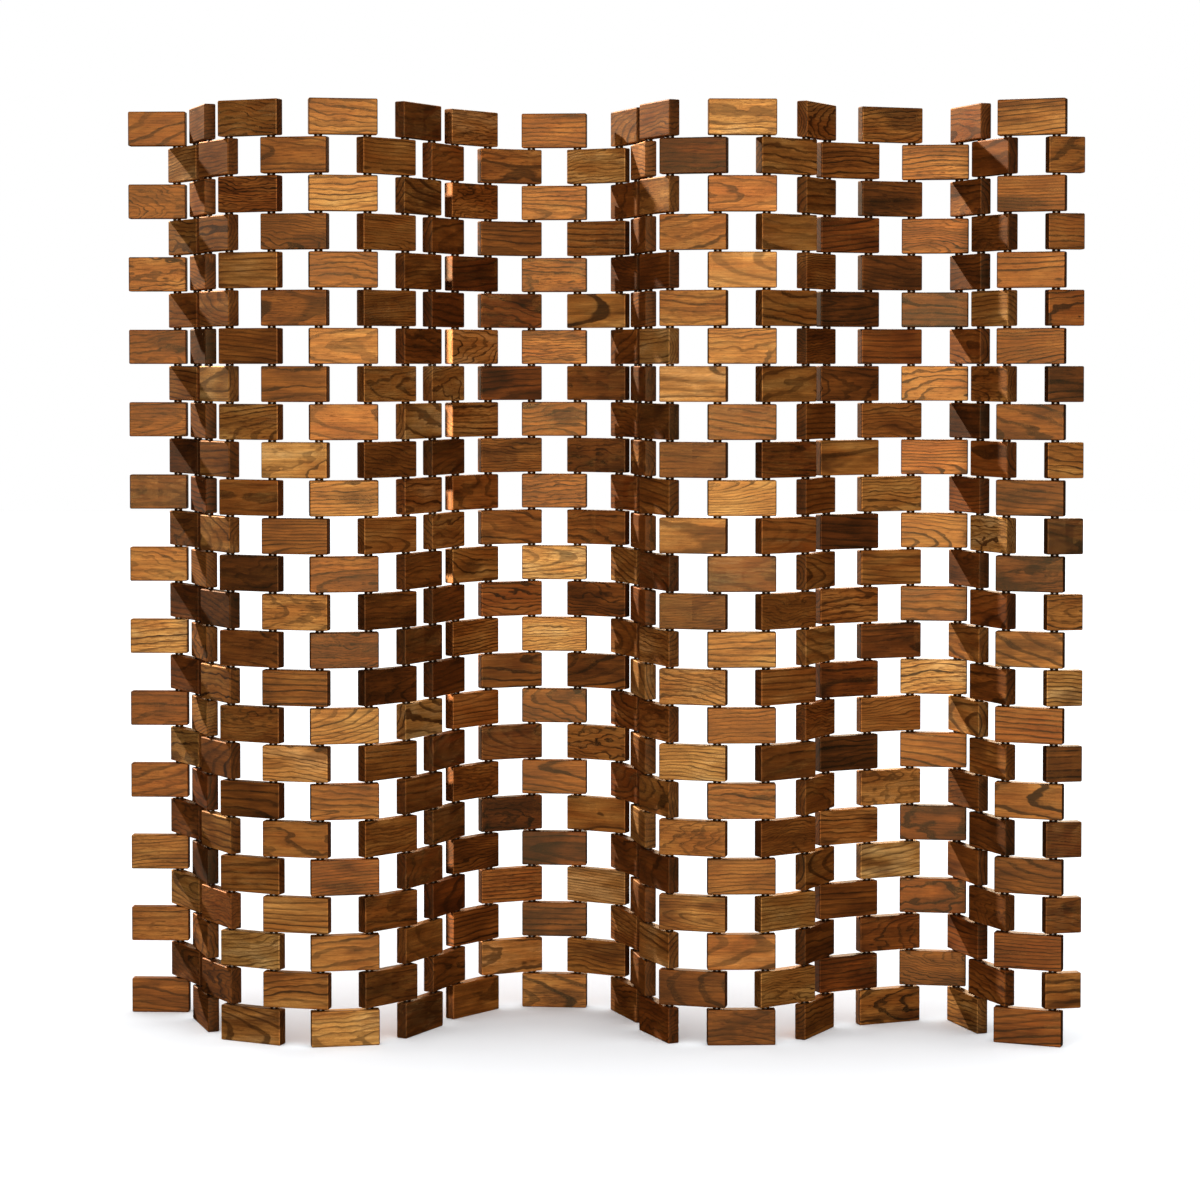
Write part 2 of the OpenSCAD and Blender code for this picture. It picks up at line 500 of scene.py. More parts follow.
def stack_of_blocks(tree, size, kinds):
    """Each kind of block on its own points of an upright line."""
    half = calc(tree, "MULTIPLY", size["Block_Height"], 0.5)
    rows_below = calc(tree, "SUBTRACT", size["First_Row"], 1.0)
    first_level = calc(tree, "MULTIPLY_ADD", rows_below, size["Row_Pitch"], half)
    line = add(tree, "GeometryNodeMeshLine", {
        "Count": size["Blocks"], "Start Location": combine(tree, z=first_level),
        "Offset": combine(tree, z=calc(tree, "MULTIPLY", size["Row_Pitch"], 2.0)),
    }).outputs[0]
    index = add(tree, "GeometryNodeInputIndex").outputs[0]
    is_first = calc(tree, "COMPARE", index, 0.0, NEAR)
    is_last = calc(tree, "COMPARE", calc(tree, "ADD", index, 1.0), size["Blocks"], NEAR)
    lowest = calc(tree, "MULTIPLY", is_first, size["Has_Recesses"])
    highest = calc(tree, "MULTIPLY", is_last, size["Has_Recesses"])
    plain = calc(tree, "SUBTRACT", 1.0, calc(tree, "ADD", lowest, highest))
    placed = []
    for chosen, kind in zip((plain, lowest, highest), kinds):
        put = {"Points": line, "Selection": chosen, "Instance": kind}
        placed.append(add(tree, "GeometryNodeInstanceOnPoints", put).outputs[0])
    number = calc(tree, "MULTIPLY_ADD", size["Column_Number"], NUMBERS_PER_COLUMN, index)
    return store(tree, joined(tree, *placed), "block_number", number, domain="INSTANCE")


print("a column of", (ROWS + 1) // 2, "or", ROWS // 2, "blocks")

# %% Placing and finishing a tree's result
CREASE = math.radians(58)


def finish_tree(tree, geometry, middle, turn, finish):
    """Turns and moves the whole, makes it real, shades it and gives it its material."""
    rotation = add(tree, "FunctionNodeEulerToRotation", {0: combine(tree, z=turn)}).outputs[0]
    placement = {"Geometry": geometry, "Translation": middle, "Rotation": rotation}
    placed = add(tree, "GeometryNodeTransform", placement).outputs[0]
    real = add(tree, "GeometryNodeRealizeInstances", {"Geometry": placed}).outputs[0]
    angle = add(tree, "GeometryNodeInputMeshEdgeAngle").outputs["Unsigned Angle"]
    crease = calc(tree, "GREATER_THAN", angle, CREASE)
    faces = {"Geometry": real, "Shade Smooth": True}
    smooth = add(tree, "GeometryNodeSetShadeSmooth", faces, domain="FACE").outputs[0]
    edges = {"Geometry": smooth, "Selection": crease, "Shade Smooth": False}
    sharp = add(tree, "GeometryNodeSetShadeSmooth", edges, domain="EDGE").outputs[0]
    painted = add(tree, "GeometryNodeSetMaterial", {"Geometry": sharp, "Material": finish})
    add(tree, "NodeGroupOutput", {0: painted.outputs[0]})


print("creases sharper than", round(math.degrees(CREASE)), "degrees stay sharp")

# %% The tree of a wooden column
wooden_column, column_size = new_tree(
    "wooden_column",
    Blocks="Int", First_Row="Int", Row_Pitch="Float", Block_Length="Float", Block_Height="Float",
    Block_Thickness="Float", Edge_Radius="Float", Bore_Radius="Float", Left_Bore="Float",
    Right_Bore="Float", Recess_Radius="Float", Recess_Depth="Float", Has_Recesses="Bool",
    Middle="Vector", Heading="Float", Column_Number="Int", Finish="Material",
)
kinds = kinds_of_block(wooden_column, column_size)
stack = stack_of_blocks(wooden_column, column_size, kinds)
finish_tree(
    wooden_column, stack,
    column_size["Middle"], column_size["Heading"], column_size["Finish"],
)
print("column tree", len(wooden_column.nodes), "nodes")

# %% [markdown]
# ## Chance and pattern for the wood
#
# The blocks look sawn from several warm hardwoods: most are mid brown, some honey, some
# reddish or nearly black. A picture of wood would repeat itself and has no ends, so the
# whole figure is worked out from the marks. Dice that depend only on the block's number
# give it its tone, its pith and its share of dark heartwood, and they fall the same way
# on every run. Stretched noise gives what runs along the grain.

# %% Dice for each block
ROLLS = {
    "dashes": 0.0625, "place": 0.125, "pith": 0.25, "rings": 0.5,
    "tone": 0.75, "second_tone": 0.875, "heart": 0.9375,
}


def dice(tree, block, roll):
    """Three numbers from 0 to 1 that differ from block to block and from roll to roll."""
    seed = calc(tree, "ADD", block, ROLLS[roll])
    chance = add(tree, "ShaderNodeTexWhiteNoise", {"W": seed}, noise_dimensions="1D")
    return add(tree, "ShaderNodeSeparateColor", {0: chance.outputs["Color"]}).outputs[:3]


def span(tree, value, low, high):
    """Stretches a number from 0..1 to low..high."""
    return calc(tree, "MULTIPLY_ADD", value, high - low, low)


print("rolls", list(ROLLS))


# %% Noise, ramps and mixes
def noise(tree, place, stretch, detail=2.0, roughness=0.5):
    """Soft noise whose grain is stretched by different scales along each axis."""
    scaled = vector_calc(tree, "MULTIPLY", place, stretch)
    inputs = {"Vector": scaled, "Scale": 1.0, "Detail": detail, "Roughness": roughness}
    return add(tree, "ShaderNodeTexNoise", inputs).outputs[0]


def ramp(tree, value, *stops):
    """A colour ramp from (position, grey or colour) stops."""
    node = add(tree, "ShaderNodeValToRGB", {0: value})
    elements = node.color_ramp.elements
    while len(elements) < len(stops):
        elements.new(1.0)
    for element, (position, colour) in zip(elements, stops):
        element.position = position
        element.color = (*colour, 1) if isinstance(colour, tuple) else (colour,) * 3 + (1,)
    return node.outputs[0]


def mix(tree, share, a, b, blend="MIX"):
    """Mixes two colours."""
    colours = {0: share, 6: a, 7: b}
    return add(tree, "ShaderNodeMix", colours, data_type="RGBA", blend_type=blend).outputs[2]


def darken(tree, share, wood, tint):
    """Multiplies the wood by a tint where the share is 1."""
    return mix(tree, share, wood, (*tint, 1), "MULTIPLY")


print("pattern helpers ready")

# %% [markdown]
# ## Growth rings
#
# A board shows the tree's growth rings cut open. The pattern here is the same solid
# one: rings round a pith line that passes near each block at its own distance and
# slant. On the faces this gives straight lines or cathedral arches, and on the ends
# arcs that meet them at the edge, as on real wood. A wave texture makes rings as well,
# but all alike: it doesn't say which ring a point is in, and that number is what gives
# each year's line its own strength here. Two noises make the rings sway and curl, more
# in some blocks than in others.

# %% Where a point lies among the rings
PITH_NEAR, PITH_FAR = 0.02, 0.11
SLANT_THROUGH, SLANT_UP = 0.16, 0.10
RING_THIN, RING_WIDE = 0.0048, 0.0125
SWAY, SWAY_NOISE = (0.015, 0.07), ((6.0, 15.0, 15.0), 1.0)
CURL, CURL_NOISE = (0.0025, 0.016), ((34.0, 75.0, 75.0), 1.5)
SCATTER = (4.0, 4.0, 4.0)
RARE_WAVES = 2.0  # powers above 1 make small values likelier


def own_place(tree, grain, block):
    """The place in the block, shifted by chance so that no two blocks share a noise."""
    chance = combine(tree, *dice(tree, block, "place"))
    return vector_calc(tree, "ADD", grain, vector_calc(tree, "MULTIPLY", chance, SCATTER))


def off_pith(tree, value, along, slant, steepest, away, side):
    """A coordinate measured from the pith line instead of from the block's middle."""
    shifted = calc(tree, "ADD", value, calc(tree, "MULTIPLY", away, side))
    return calc(tree, "MULTIPLY_ADD", along, span(tree, slant, -steepest, steepest), shifted)


def growth_rings(tree, grain, own, block):
    """Where in its ring a point lies, from 0 to 1, and that year's own number."""
    turn, distance, slant = dice(tree, block, "pith")
    lean, wander, width = dice(tree, block, "rings")
    along, through, up = separate(tree, grain)
    angle = calc(tree, "MULTIPLY", turn, 2 * math.pi)
    away = span(tree, distance, PITH_NEAR, PITH_FAR)
    sideways, upwards = calc(tree, "COSINE", angle), calc(tree, "SINE", angle)
    through = off_pith(tree, through, along, slant, SLANT_THROUGH, away, sideways)
    up = off_pith(tree, up, along, lean, SLANT_UP, away, upwards)
    radius = vector_calc(tree, "LENGTH", combine(tree, 0.0, through, up))
    wavy = calc(tree, "POWER", wander, RARE_WAVES)
    sway = calc(tree, "SUBTRACT", noise(tree, own, *SWAY_NOISE), 0.5)
    curl = calc(tree, "SUBTRACT", noise(tree, own, *CURL_NOISE), 0.5)
    radius = calc(tree, "MULTIPLY_ADD", sway, span(tree, wavy, *SWAY), radius)
    radius = calc(tree, "MULTIPLY_ADD", curl, span(tree, wavy, *CURL), radius)
    rings = calc(tree, "DIVIDE", radius, span(tree, width, RING_THIN, RING_WIDE))
    seed = calc(tree, "ADD", calc(tree, "FLOOR", rings), block)
    year = add(tree, "ShaderNodeTexWhiteNoise", {"W": seed}, noise_dimensions="1D")
    return calc(tree, "FRACT", rings), year.outputs["Value"]


print("rings", RING_THIN, "to", RING_WIDE, "m wide")

# %% [markdown]
# ## The colour of the wood, layer by layer
#
# A finisher who looks closely sees layers, and the material has the same ones. First
# the ground: the block's own brown, cloudy along the board, now and then reddish. Then
# the thin dark line that ends each year, and patches of dark heartwood in some blocks.
# Last what is fine: long streaks, fibre, short dark dashes and open pores. Each layer
# multiplies the one before, as stain and shadow do, so the brown still shows through.

# %% Ground, growth lines and heartwood
BROWNS = (
    (0.00, (0.062, 0.016, 0.003)), (0.20, (0.155, 0.042, 0.007)), (0.42, (0.285, 0.088, 0.014)),
    (0.62, (0.400, 0.156, 0.031)), (0.80, (0.540, 0.262, 0.066)), (1.00, (0.700, 0.425, 0.160)),
)
LATE_WOOD = ((0.0, 1.0), (0.05, 0.0), (0.45, 0.05), (0.72, 0.26), (0.80, 1.0), (1.0, 1.0))
SECOND_DIE, CLOUDS = 0.6, (-0.53, 0.41)
RED_TINT, RED_SHARE, RARE_RED = (0.85, 0.55, 0.42), 0.8, 2.5
LINE_TINT, YEARS, CONTRASTS = (0.05, 0.025, 0.02), (0.5, 1.0), (0.8, 1.0)
HEART_TINT, HEART_NOISE = (0.34, 0.27, 0.26), ((6.0, 20.0, 20.0), 3.0, 0.6)
HEART_PATCH, HEART_BLOCKS = ((0.52, 0.0), (0.62, 1.0)), ((0.45, 0.0), (0.75, 0.85))


def ground_colour(tree, cloud, block):
    """The block's brown. Two dice make middling browns likelier than light or dark ones."""
    tone, red, _ = dice(tree, block, "tone")
    second = dice(tree, block, "second_tone")[0]
    both = calc(tree, "MULTIPLY_ADD", second, SECOND_DIE, tone)
    even = calc(tree, "MULTIPLY", both, 1 / (1 + SECOND_DIE))
    ground = ramp(tree, calc(tree, "ADD", even, span(tree, cloud, *CLOUDS)), *BROWNS)
    reddish = calc(tree, "MULTIPLY", calc(tree, "POWER", red, RARE_RED), RED_SHARE)
    return darken(tree, reddish, ground, RED_TINT)


def growth_lines(tree, wood, late, year, block):
    """The dark line at the end of each year, stronger in some years and blocks."""
    contrast = dice(tree, block, "tone")[2]
    strength = calc(tree, "MULTIPLY", late, span(tree, year, *YEARS))
    strength = calc(tree, "MULTIPLY", span(tree, contrast, *CONTRASTS), strength)
    return darken(tree, strength, wood, LINE_TINT)


def dark_heart(tree, wood, own, block):
    """Patches of dark heartwood, in about half of the blocks."""
    patch = ramp(tree, noise(tree, own, *HEART_NOISE), *HEART_PATCH)
    has_heart = ramp(tree, dice(tree, block, "heart")[0], *HEART_BLOCKS)
    return darken(tree, calc(tree, "MULTIPLY", patch, has_heart), wood, HEART_TINT)


print("browns", len(BROWNS), "from dark to honey")

# %% Streaks, fibre, dashes and pores
# Each noise has its stretch along, through and up the block, its detail and its roughness.
STREAK_NOISE, STREAKS = ((5.0, 210.0, 210.0), 3.0, 0.65), ((0.36, 0.76), (0.64, 1.24))
FIBRE_NOISE, FIBRES = ((15.0, 430.0, 430.0), 2.0, 0.7), ((0.36, 0.80), (0.64, 1.20))
DASH_NOISE, DASHES = ((45.0, 480.0, 480.0), 1.0), ((0.58, 0.0), (0.63, 1.0))
DASH_TINT, DASH_BLOCKS = (0.36, 0.27, 0.22), ((0.55, 0.0), (0.9, 0.9))
PORE_NOISE, PORES = ((60.0, 1000.0, 1000.0), 1.0), ((0.60, 0.0), (0.70, 1.0))
PORE_TINT, PORE_SHARE = (0.35, 0.28, 0.25), 0.6


def fine_grain(tree, wood, own, block):
    """The fine layers. Returns the colour, and the fibre and the pores for gloss and bump."""
    streak = ramp(tree, noise(tree, own, *STREAK_NOISE), *STREAKS)
    wood = mix(tree, 1.0, wood, streak, "MULTIPLY")
    fibre = noise(tree, own, *FIBRE_NOISE)
    wood = mix(tree, 1.0, wood, ramp(tree, fibre, *FIBRES), "MULTIPLY")
    has_dashes = ramp(tree, dice(tree, block, "dashes")[0], *DASH_BLOCKS)
    dashes = ramp(tree, noise(tree, own, *DASH_NOISE), *DASHES)
    wood = darken(tree, calc(tree, "MULTIPLY", dashes, has_dashes), wood, DASH_TINT)
    pores = ramp(tree, noise(tree, own, *PORE_NOISE), *PORES)
    wood = darken(tree, calc(tree, "MULTIPLY", pores, PORE_SHARE), wood, PORE_TINT)
    return wood, fibre, pores


print("fine layers: streaks, fibre, dashes, pores")

# %% [markdown]
# ## Ends, edges and the oil
#
# End grain drinks more oil and turns darker. The eased edges are painted a little
# lighter, which draws a thin line round each face: this is painted light, which offsets
# the shade that falls on their rounding. The oil leaves a satin surface. Plain shine
# would be white and lie over the colour, but the cut fibres of oiled hardwood shine in
# their own brown, so the surface is partly metallic, with a warm tint on what is left of
# the plain shine. The bump is kept to a fifth of a millimetre: fibre and pores can be
# felt, the shape itself is in the mesh.

# %% The wood material
END_TINT, EDGE_LIGHT_TINT, EDGE_PAINTED_LIGHT = (0.42, 0.36, 0.33), (1.7, 1.65, 1.6), 0.5
ROUGH_LOW, ROUGH_HIGH, ROUGH_END, ROUGH_EDGE, ROUGH_PORE = 0.40, 0.56, 0.1, 0.15, 0.12
OIL = {"Metallic": 0.38, "Specular IOR Level": 0.6, "Specular Tint": (1.0, 0.76, 0.40, 1)}
CLOUD_NOISE = ((9.0, 34.0, 34.0), 3.0)
FIBRE_RELIEF, PORE_RELIEF, LATE_RELIEF = 0.5, -0.8, 0.25
BUMP = {"Strength": 0.14, "Distance": 0.0002}


def new_finish(name):
    """An empty material and its tree."""
    material = bpy.data.materials.new(name)
    material.use_nodes = True
    material.node_tree.nodes.clear()
    return material, material.node_tree


def mark(tree, name):
    """A mark that the geometry tree kept on the mesh."""
    return add(tree, "ShaderNodeAttribute", attribute_name=name).outputs


oiled_wood, tree = new_finish("oiled_wood")
grain, block = mark(tree, "grain")["Vector"], mark(tree, "block_number")["Fac"]
ends, edge = mark(tree, "end_grain")["Fac"], mark(tree, "eased_edge")["Fac"]
own = own_place(tree, grain, block)
cloud = noise(tree, own, *CLOUD_NOISE)
ring, year = growth_rings(tree, grain, own, block)
late = ramp(tree, ring, *LATE_WOOD)

wood = ground_colour(tree, cloud, block)
wood = growth_lines(tree, wood, late, year, block)
wood = dark_heart(tree, wood, own, block)
wood, fibre, pores = fine_grain(tree, wood, own, block)
wood = darken(tree, ends, wood, END_TINT)
# painted light: the eased edges are lightened to offset the shade on their rounding
wood = darken(tree, calc(tree, "MULTIPLY", edge, EDGE_PAINTED_LIGHT), wood, EDGE_LIGHT_TINT)

rough = calc(tree, "MULTIPLY_ADD", ends, ROUGH_END, span(tree, cloud, ROUGH_LOW, ROUGH_HIGH))
rough = calc(tree, "MULTIPLY_ADD", pores, ROUGH_PORE, rough)
rough = calc(tree, "MULTIPLY_ADD", edge, ROUGH_EDGE, rough)
relief = calc(tree, "MULTIPLY", fibre, FIBRE_RELIEF)
relief = calc(tree, "MULTIPLY_ADD", pores, PORE_RELIEF, relief)
relief = calc(tree, "MULTIPLY_ADD", late, LATE_RELIEF, relief)
bump = add(tree, "ShaderNodeBump", {"Height": relief, **BUMP}).outputs[0]
look = {"Base Color": wood, "Roughness": rough, "Normal": bump, **OIL}
skin = add(tree, "ShaderNodeBsdfPrincipled", look)
add(tree, "ShaderNodeOutputMaterial", {"Surface": skin.outputs[0]})
print("oiled wood", len(tree.nodes), "nodes")

# %% [markdown]
# ## Setting up the 28 columns
#
# The joints of the frame give the axis of every rod, and the box of each column node
# gives its middle, so no place is typed in twice. A column's heading is the direction
# from one of its rods to the other. Odd columns stand on the floor and fill the odd
# rows, and even columns hang between them.

# %% Rod axes and columns
rod_axis = {int(joint["name"][-2:]): Vector(joint["pos_m"][:2]) for joint in frame["joints"]}
COLUMNS = len(rod_axis) + 1


def column_node(number):
    """The name of a column's node, counted from the left."""
    kind = "foot_column" if number % 2 else "hung_column"
    return f"{kind}_{(number + 1) // 2:02d}"


def column_plan(number):
    """A column's middle and heading, seen from above."""
    low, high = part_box(column_node(number))
    middle = (low + high) / 2
    start = rod_axis.get(number - 1, middle.to_2d())
    end = rod_axis.get(number, middle.to_2d())
    return middle.to_2d(), math.atan2(end.y - start.y, end.x - start.x)


print("rods", len(rod_axis), "first", tuple(round(v, 4) for v in rod_axis[1]))


# %% Handing a piece to the frame
def hand_over(piece, node):
    """The piece moves with the node's body, and the node's own part is hidden."""
    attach(piece, body_of[node])
    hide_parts(node)


# %% Make the columns
NOWHERE = 1.0  # a bore this far away cuts nothing
SPOT_COLUMNS = (11, 12)
columns = {}
for number in range(1, COLUMNS + 1):
    middle, heading = column_plan(number)
    length = {1: FIRST_LENGTH, COLUMNS: LAST_LENGTH}.get(number, BLOCK_LENGTH)
    stands = number % 2 == 1
    columns[number] = grow(
        f"wooden_column_{number:02d}", wooden_column, oiled_wood,
        Blocks=(ROWS + 1) // 2 if stands else ROWS // 2, First_Row=1 if stands else 2,
        Row_Pitch=ROW_PITCH, Block_Length=length, Block_Height=BLOCK_HEIGHT,
        Block_Thickness=BLOCK_THICKNESS, Edge_Radius=EDGE_RADIUS, Bore_Radius=BORE_RADIUS,
        Left_Bore=-NOWHERE if number == 1 else OVERHANG - length / 2,
        Right_Bore=NOWHERE if number == COLUMNS else length / 2 - OVERHANG,
        Recess_Radius=RECESS_RADIUS, Recess_Depth=RECESS_DEPTH, Has_Recesses=stands,
        Middle=(middle.x, middle.y, 0.0), Heading=heading, Column_Number=number,
    )
    hand_over(columns[number], column_node(number))
reach(spot, "INCLUDE", *(columns[number] for number in SPOT_COLUMNS))
faces = sorted({len(piece.data.polygons) for piece in columns.values()})
print("columns", len(columns), "faces in each", faces)

# %% [markdown]
# ## Rods, rings and nuts
#
# Rings turned from thicker bar are slipped over each rod, one for each gap, and hold the
# rows apart. The photograph doesn't show how the rods end, so that is guessed: a thread
# at both ends, with a washer and a nut in a recess of the outermost block. Nearly all
# of it is round, so the tree starts from cylinders and moves their loops of vertices in
# or along the axis: that gives the bevels and the thread without any bevelling step.

# %% Sizes of the steel, in metres
ROD_RADIUS, ROD_SETBACK = 0.004, 0.002
THREAD_PITCH, THREAD_DEPTH, THREAD_TURNS = 0.00125, 0.0005, 8
RING_RADIUS, RING_HEIGHT, RING_BEVEL = 0.008, 0.0039, 0.0005
PLAY = 0.00005  # between the recess, the washer and the nut
SLIP_RADIUS = 0.0042
WASHER_HEIGHT = 0.0016
NUT_WIDTH, NUT_HEIGHT = 0.013, 0.0065
ROD_SIDES, HOLE_SIDES, RING_SIDES, WASHER_SIDES = 16, 12, 12, 24
print("rings on a rod", ROWS - 1)

# %% Turned parts
RIM = 0.9  # of the half height, above which a vertex is on the rim


def turned(tree, sides, radius, height, bevel):
    """An upright cylinder around the origin with bevelled rims."""
    shape = {"Vertices": sides, "Side Segments": 3, "Radius": radius, "Depth": height}
    bar = add(tree, "GeometryNodeMeshCylinder", shape).outputs[0]
    x, y, z = separate(tree, add(tree, "GeometryNodeInputPosition").outputs[0])
    half = calc(tree, "MULTIPLY", height, 0.5)
    rim = calc(tree, "GREATER_THAN", calc(tree, "ABSOLUTE", z), calc(tree, "MULTIPLY", half, RIM))
    pulled_in = calc(tree, "MULTIPLY", rim, calc(tree, "DIVIDE", bevel, radius))
    shrink = calc(tree, "SUBTRACT", 1.0, pulled_in)
    inner = calc(tree, "MULTIPLY", calc(tree, "SIGN", z), calc(tree, "SUBTRACT", half, bevel))
    off_rim = calc(tree, "MULTIPLY", calc(tree, "SUBTRACT", 1.0, rim), inner)
    level = calc(tree, "MULTIPLY_ADD", rim, z, off_rim)
    x, y = calc(tree, "MULTIPLY", x, shrink), calc(tree, "MULTIPLY", y, shrink)
    moved = combine(tree, x, y, level)
    return add(tree, "GeometryNodeSetPosition", {"Geometry": bar, "Position": moved}).outputs[0]


def hole(tree, solid, radius, depth):
    """A turned part with a hole along its axis."""
    shape = {"Vertices": HOLE_SIDES, "Radius": radius, "Depth": calc(tree, "ADD", depth, CUT)}
    return cut_away(tree, solid, add(tree, "GeometryNodeMeshCylinder", shape).outputs[0])


def slip_ring(tree, sides, size, height, bevel):
    """A ring or a washer that slips over the rod."""
    disc = turned(tree, sides, size["Ring_Radius"], height, bevel)
    return hole(tree, disc, size["Slip_Radius"], height)


print("ring", RING_RADIUS, "washer height", WASHER_HEIGHT)

# %% [markdown]
# ## Thread and nut
#
# A real thread is a helix, but at 8 mm across nobody sees its slope, and closed grooves
# are only a cylinder with its loops moved, without a seam or a run-out. The bar's loops
# are crowded towards its two ends, half a pitch apart, and every second one is pulled
# in by the thread's depth. A nut is a hexagon whose corners are turned down: what a
# hexagon and a bevelled round blank have in common.


# %% Threaded bar
def threaded_bar(tree, radius, length, turns, pitch, depth):
    """Round bar whose loops of vertices are crowded and waved into a thread at both ends."""
    loops = calc(tree, "MULTIPLY", turns, 2.0)
    segments = calc(tree, "MULTIPLY_ADD", loops, 2.0, 1.0)
    shape = {"Vertices": ROD_SIDES, "Side Segments": segments, "Radius": radius, "Depth": length}
    bar = add(tree, "GeometryNodeMeshCylinder", shape).outputs[0]
    x, y, z = separate(tree, add(tree, "GeometryNodeInputPosition").outputs[0])
    share = calc(tree, "ADD", calc(tree, "DIVIDE", z, length), 0.5)
    step = calc(tree, "ROUND", calc(tree, "MULTIPLY", share, segments))
    from_end = calc(tree, "MINIMUM", step, calc(tree, "SUBTRACT", segments, step))
    inwards = calc(tree, "MULTIPLY", from_end, calc(tree, "MULTIPLY", pitch, 0.5))
    level = calc(tree, "SUBTRACT", calc(tree, "MULTIPLY", length, 0.5), inwards)
    even = calc(tree, "SUBTRACT", 1.0, calc(tree, "MODULO", from_end, 2.0))
    groove = calc(tree, "MULTIPLY", even, calc(tree, "LESS_THAN", from_end, loops))
    pulled_in = calc(tree, "MULTIPLY", groove, calc(tree, "DIVIDE", depth, radius))
    shrink = calc(tree, "SUBTRACT", 1.0, pulled_in)
    x, y = calc(tree, "MULTIPLY", x, shrink), calc(tree, "MULTIPLY", y, shrink)
    moved = combine(tree, x, y, calc(tree, "MULTIPLY", calc(tree, "SIGN", z), level))
    return add(tree, "GeometryNodeSetPosition", {"Geometry": bar, "Position": moved}).outputs[0]


print("thread of", THREAD_TURNS, "turns at each end")

# %% Hexagon nut
CORNER_PROUD, END_PROUD = 1.004, 1.001  # the round blank just reaches past the hexagon
CORNER_BEVEL = 0.11


def hex_nut(tree, width, height, bore):
    """A hexagon whose corners are turned down, with its hole."""
    corner = calc(tree, "DIVIDE", width, math.sqrt(3))
    shape = {"Vertices": 6, "Radius": corner, "Depth": height}
    hexagon = add(tree, "GeometryNodeMeshCylinder", shape).outputs[0]
    bevel = calc(tree, "MULTIPLY", corner, CORNER_BEVEL)
    across = calc(tree, "MULTIPLY", corner, CORNER_PROUD)
    blank = turned(tree, WASHER_SIDES, across, calc(tree, "MULTIPLY", height, END_PROUD), bevel)
    both = add(tree, "GeometryNodeMeshBoolean", operation="INTERSECT", solver="EXACT")
    for solid in (hexagon, blank):
        tree.links.new(solid, both.inputs["Mesh 2"])
    return hole(tree, both.outputs[0], bore, height)


print("nut", NUT_WIDTH, "m across its flats")

# %% [markdown]
# ## One rod with all that sits on it
#
# The rings go on a line of points, one in each gap, and each is turned a little
# against the last, because real rings sit as they fell. Washers and nuts come twice,
# up and down. All that sits on a rod is one piece here, and moves as one: a ring that
# turned on its rod would look no different, as it is round.

# %% The tree of a rod
RING_TURN = 0.9  # from ring to ring, in radians
WASHER_BEVEL = 0.25  # of its height
hinge_rod, rod_size = new_tree(
    "hinge_rod",
    Rod_Radius="Float", Rod_Length="Float", Thread_Turns="Int", Thread_Pitch="Float",
    Thread_Depth="Float", Rings="Int", First_Ring="Float", Row_Pitch="Float",
    Ring_Radius="Float", Ring_Height="Float", Ring_Bevel="Float", Slip_Radius="Float",
    Washer_Height="Float", Washer_Level="Float", Nut_Width="Float", Nut_Height="Float",
    Nut_Level="Float", Bore_Radius="Float", Middle="Vector", Turn="Float", Finish="Material",
)
print("inputs of a rod", len(rod_size))


# %% What sits on the rod
def line_of_rings(tree, size):
    """A ring in each gap between the rows."""
    ring = slip_ring(tree, RING_SIDES, size, size["Ring_Height"], size["Ring_Bevel"])
    line = add(tree, "GeometryNodeMeshLine", {
        "Count": size["Rings"], "Start Location": combine(tree, z=size["First_Ring"]),
        "Offset": combine(tree, z=size["Row_Pitch"]),
    }).outputs[0]
    index = add(tree, "GeometryNodeInputIndex").outputs[0]
    turn = combine(tree, z=calc(tree, "MULTIPLY", index, RING_TURN))
    rotation = add(tree, "FunctionNodeEulerToRotation", {0: turn}).outputs[0]
    put = {"Points": line, "Instance": ring, "Rotation": rotation}
    return add(tree, "GeometryNodeInstanceOnPoints", put).outputs[0]


def at_both_ends(tree, part, level):
    """A part at this height above the rod's middle, and again below it."""
    return [
        moved_by(tree, part, combine(tree, z=calc(tree, "MULTIPLY", level, side)))
        for side in (1.0, -1.0)
    ]


thread = ("Thread_Turns", "Thread_Pitch", "Thread_Depth")
bar = threaded_bar(hinge_rod, *(rod_size[key] for key in ("Rod_Radius", "Rod_Length", *thread)))
washer_bevel = calc(hinge_rod, "MULTIPLY", rod_size["Washer_Height"], WASHER_BEVEL)
washer = slip_ring(hinge_rod, WASHER_SIDES, rod_size, rod_size["Washer_Height"], washer_bevel)
nut = hex_nut(hinge_rod, rod_size["Nut_Width"], rod_size["Nut_Height"], rod_size["Bore_Radius"])
whole = joined(
    hinge_rod, *at_both_ends(hinge_rod, washer, rod_size["Washer_Level"]),
    *at_both_ends(hinge_rod, nut, rod_size["Nut_Level"]), line_of_rings(hinge_rod, rod_size), bar,
)
finish_tree(hinge_rod, whole, rod_size["Middle"], rod_size["Turn"], rod_size["Finish"])
print("rod tree", len(hinge_rod.nodes), "nodes")

# %% [markdown]
# ## Darkened steel
#
# The rings show as small dark cylinders with one bright streak, as blackened and
# polished steel does: it is a metal with a dark, slightly warm colour, smooth enough
# for a narrow highlight. Black paint would look much the same from afar, but its
# highlight would be weaker and without the steel's own warmth. Fine noise, stretched
# round the axis, leaves the faint marks of turning. Here the noise reads Object
# coordinates, because steel has no figure that would have to differ from rod to rod.

# %% The steel material
STEEL_TONES = ((0.3, (0.050, 0.040, 0.034)), (0.7, (0.115, 0.095, 0.082)))
TURNING_NOISE, CLOUDS_NOISE = ((40.0, 40.0, 2600.0), 2.0), ((160.0, 160.0, 160.0), 2.0)
STEEL_ROUGH, STEEL_BUMP = (0.20, 0.34), {"Strength": 0.2, "Distance": 0.00005}

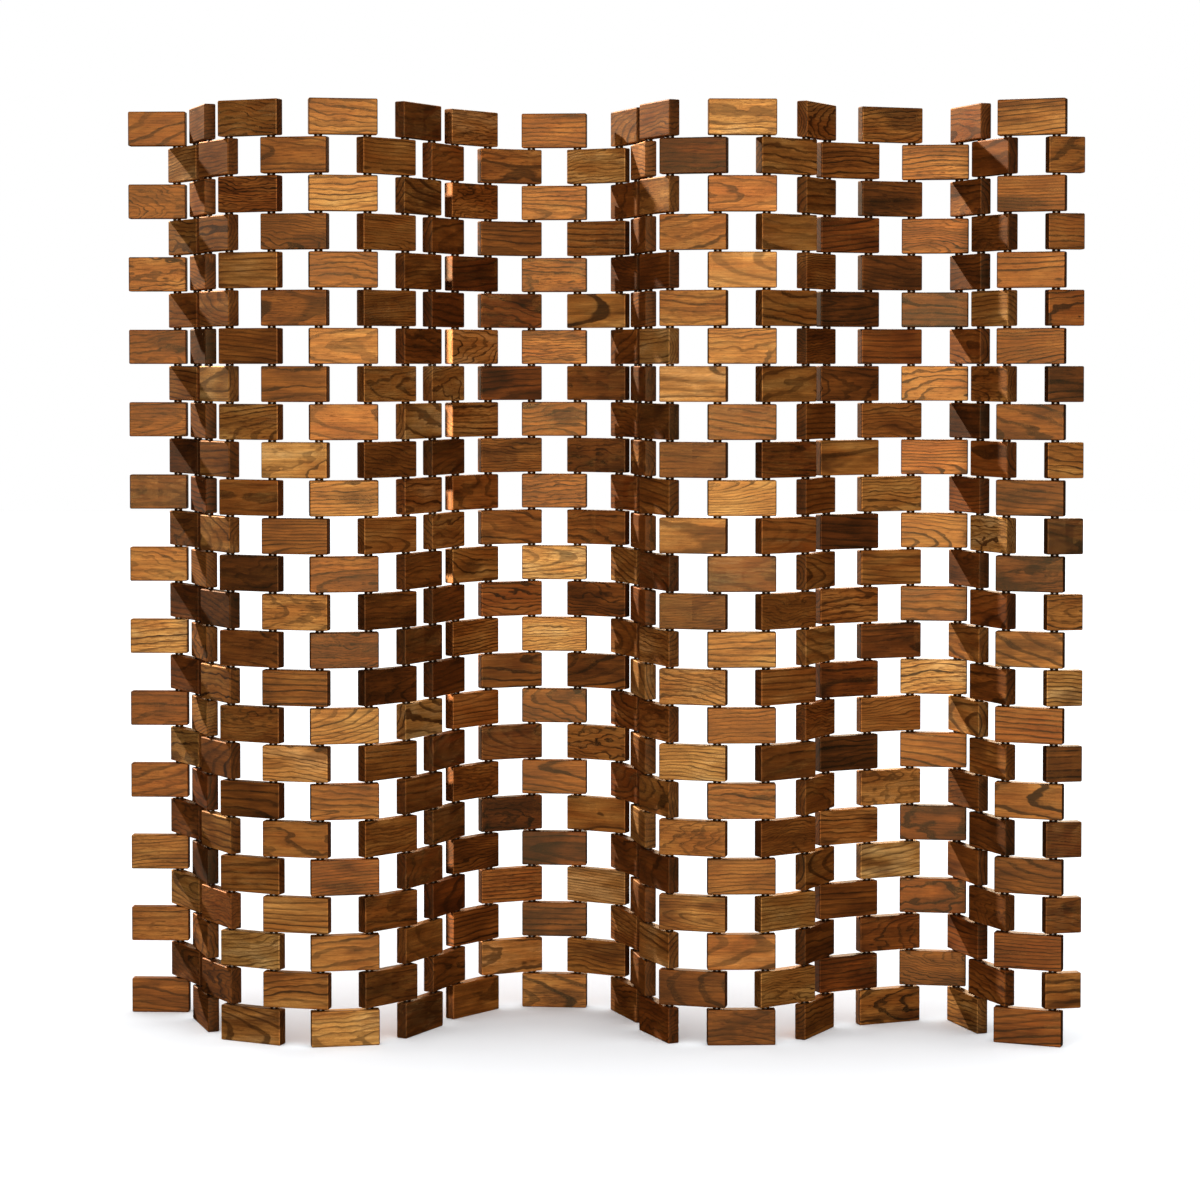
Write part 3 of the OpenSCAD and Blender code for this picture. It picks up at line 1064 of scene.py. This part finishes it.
rod_steel, tree = new_finish("rod_steel")
place = add(tree, "ShaderNodeTexCoord").outputs["Object"]
marks = noise(tree, place, *TURNING_NOISE)
cloud = noise(tree, place, *CLOUDS_NOISE)
colour = ramp(tree, cloud, *STEEL_TONES)
bump = add(tree, "ShaderNodeBump", {"Height": marks, **STEEL_BUMP}).outputs[0]
look = {"Base Color": colour, "Roughness": span(tree, marks, *STEEL_ROUGH), "Normal": bump}
skin = add(tree, "ShaderNodeBsdfPrincipled", {**look, "Metallic": 1.0})
add(tree, "ShaderNodeOutputMaterial", {"Surface": skin.outputs[0]})
print("steel", len(tree.nodes), "nodes")

# %% Make the rods
ROD_TURN = 0.7  # each rod is turned on by this much, in radians
ROD_LENGTH = SCREEN_HEIGHT - 2 * ROD_SETBACK
FIRST_RING = BLOCK_HEIGHT + ROW_GAP / 2 - SCREEN_HEIGHT / 2
RECESS_FLOOR = SCREEN_HEIGHT / 2 - RECESS_DEPTH
WASHER_LEVEL = RECESS_FLOOR + PLAY + WASHER_HEIGHT / 2
NUT_LEVEL = RECESS_FLOOR + 2 * PLAY + WASHER_HEIGHT + NUT_HEIGHT / 2
for number, axis in rod_axis.items():
    rod = grow(
        f"steel_rod_{number:02d}", hinge_rod, rod_steel,
        Rod_Radius=ROD_RADIUS, Rod_Length=ROD_LENGTH,
        Thread_Turns=THREAD_TURNS, Thread_Pitch=THREAD_PITCH, Thread_Depth=THREAD_DEPTH,
        Rings=ROWS - 1, First_Ring=FIRST_RING, Row_Pitch=ROW_PITCH,
        Ring_Radius=RING_RADIUS, Ring_Height=RING_HEIGHT, Ring_Bevel=RING_BEVEL,
        Slip_Radius=SLIP_RADIUS, Washer_Height=WASHER_HEIGHT, Washer_Level=WASHER_LEVEL,
        Nut_Width=NUT_WIDTH, Nut_Height=NUT_HEIGHT, Nut_Level=NUT_LEVEL, Bore_Radius=BORE_RADIUS,
        Middle=(axis.x, axis.y, SCREEN_HEIGHT / 2), Turn=number * ROD_TURN,
    )
    hand_over(rod, f"hinge_rod_{number:02d}")
print("last rod", rod.name, len(rod.data.polygons), "faces")
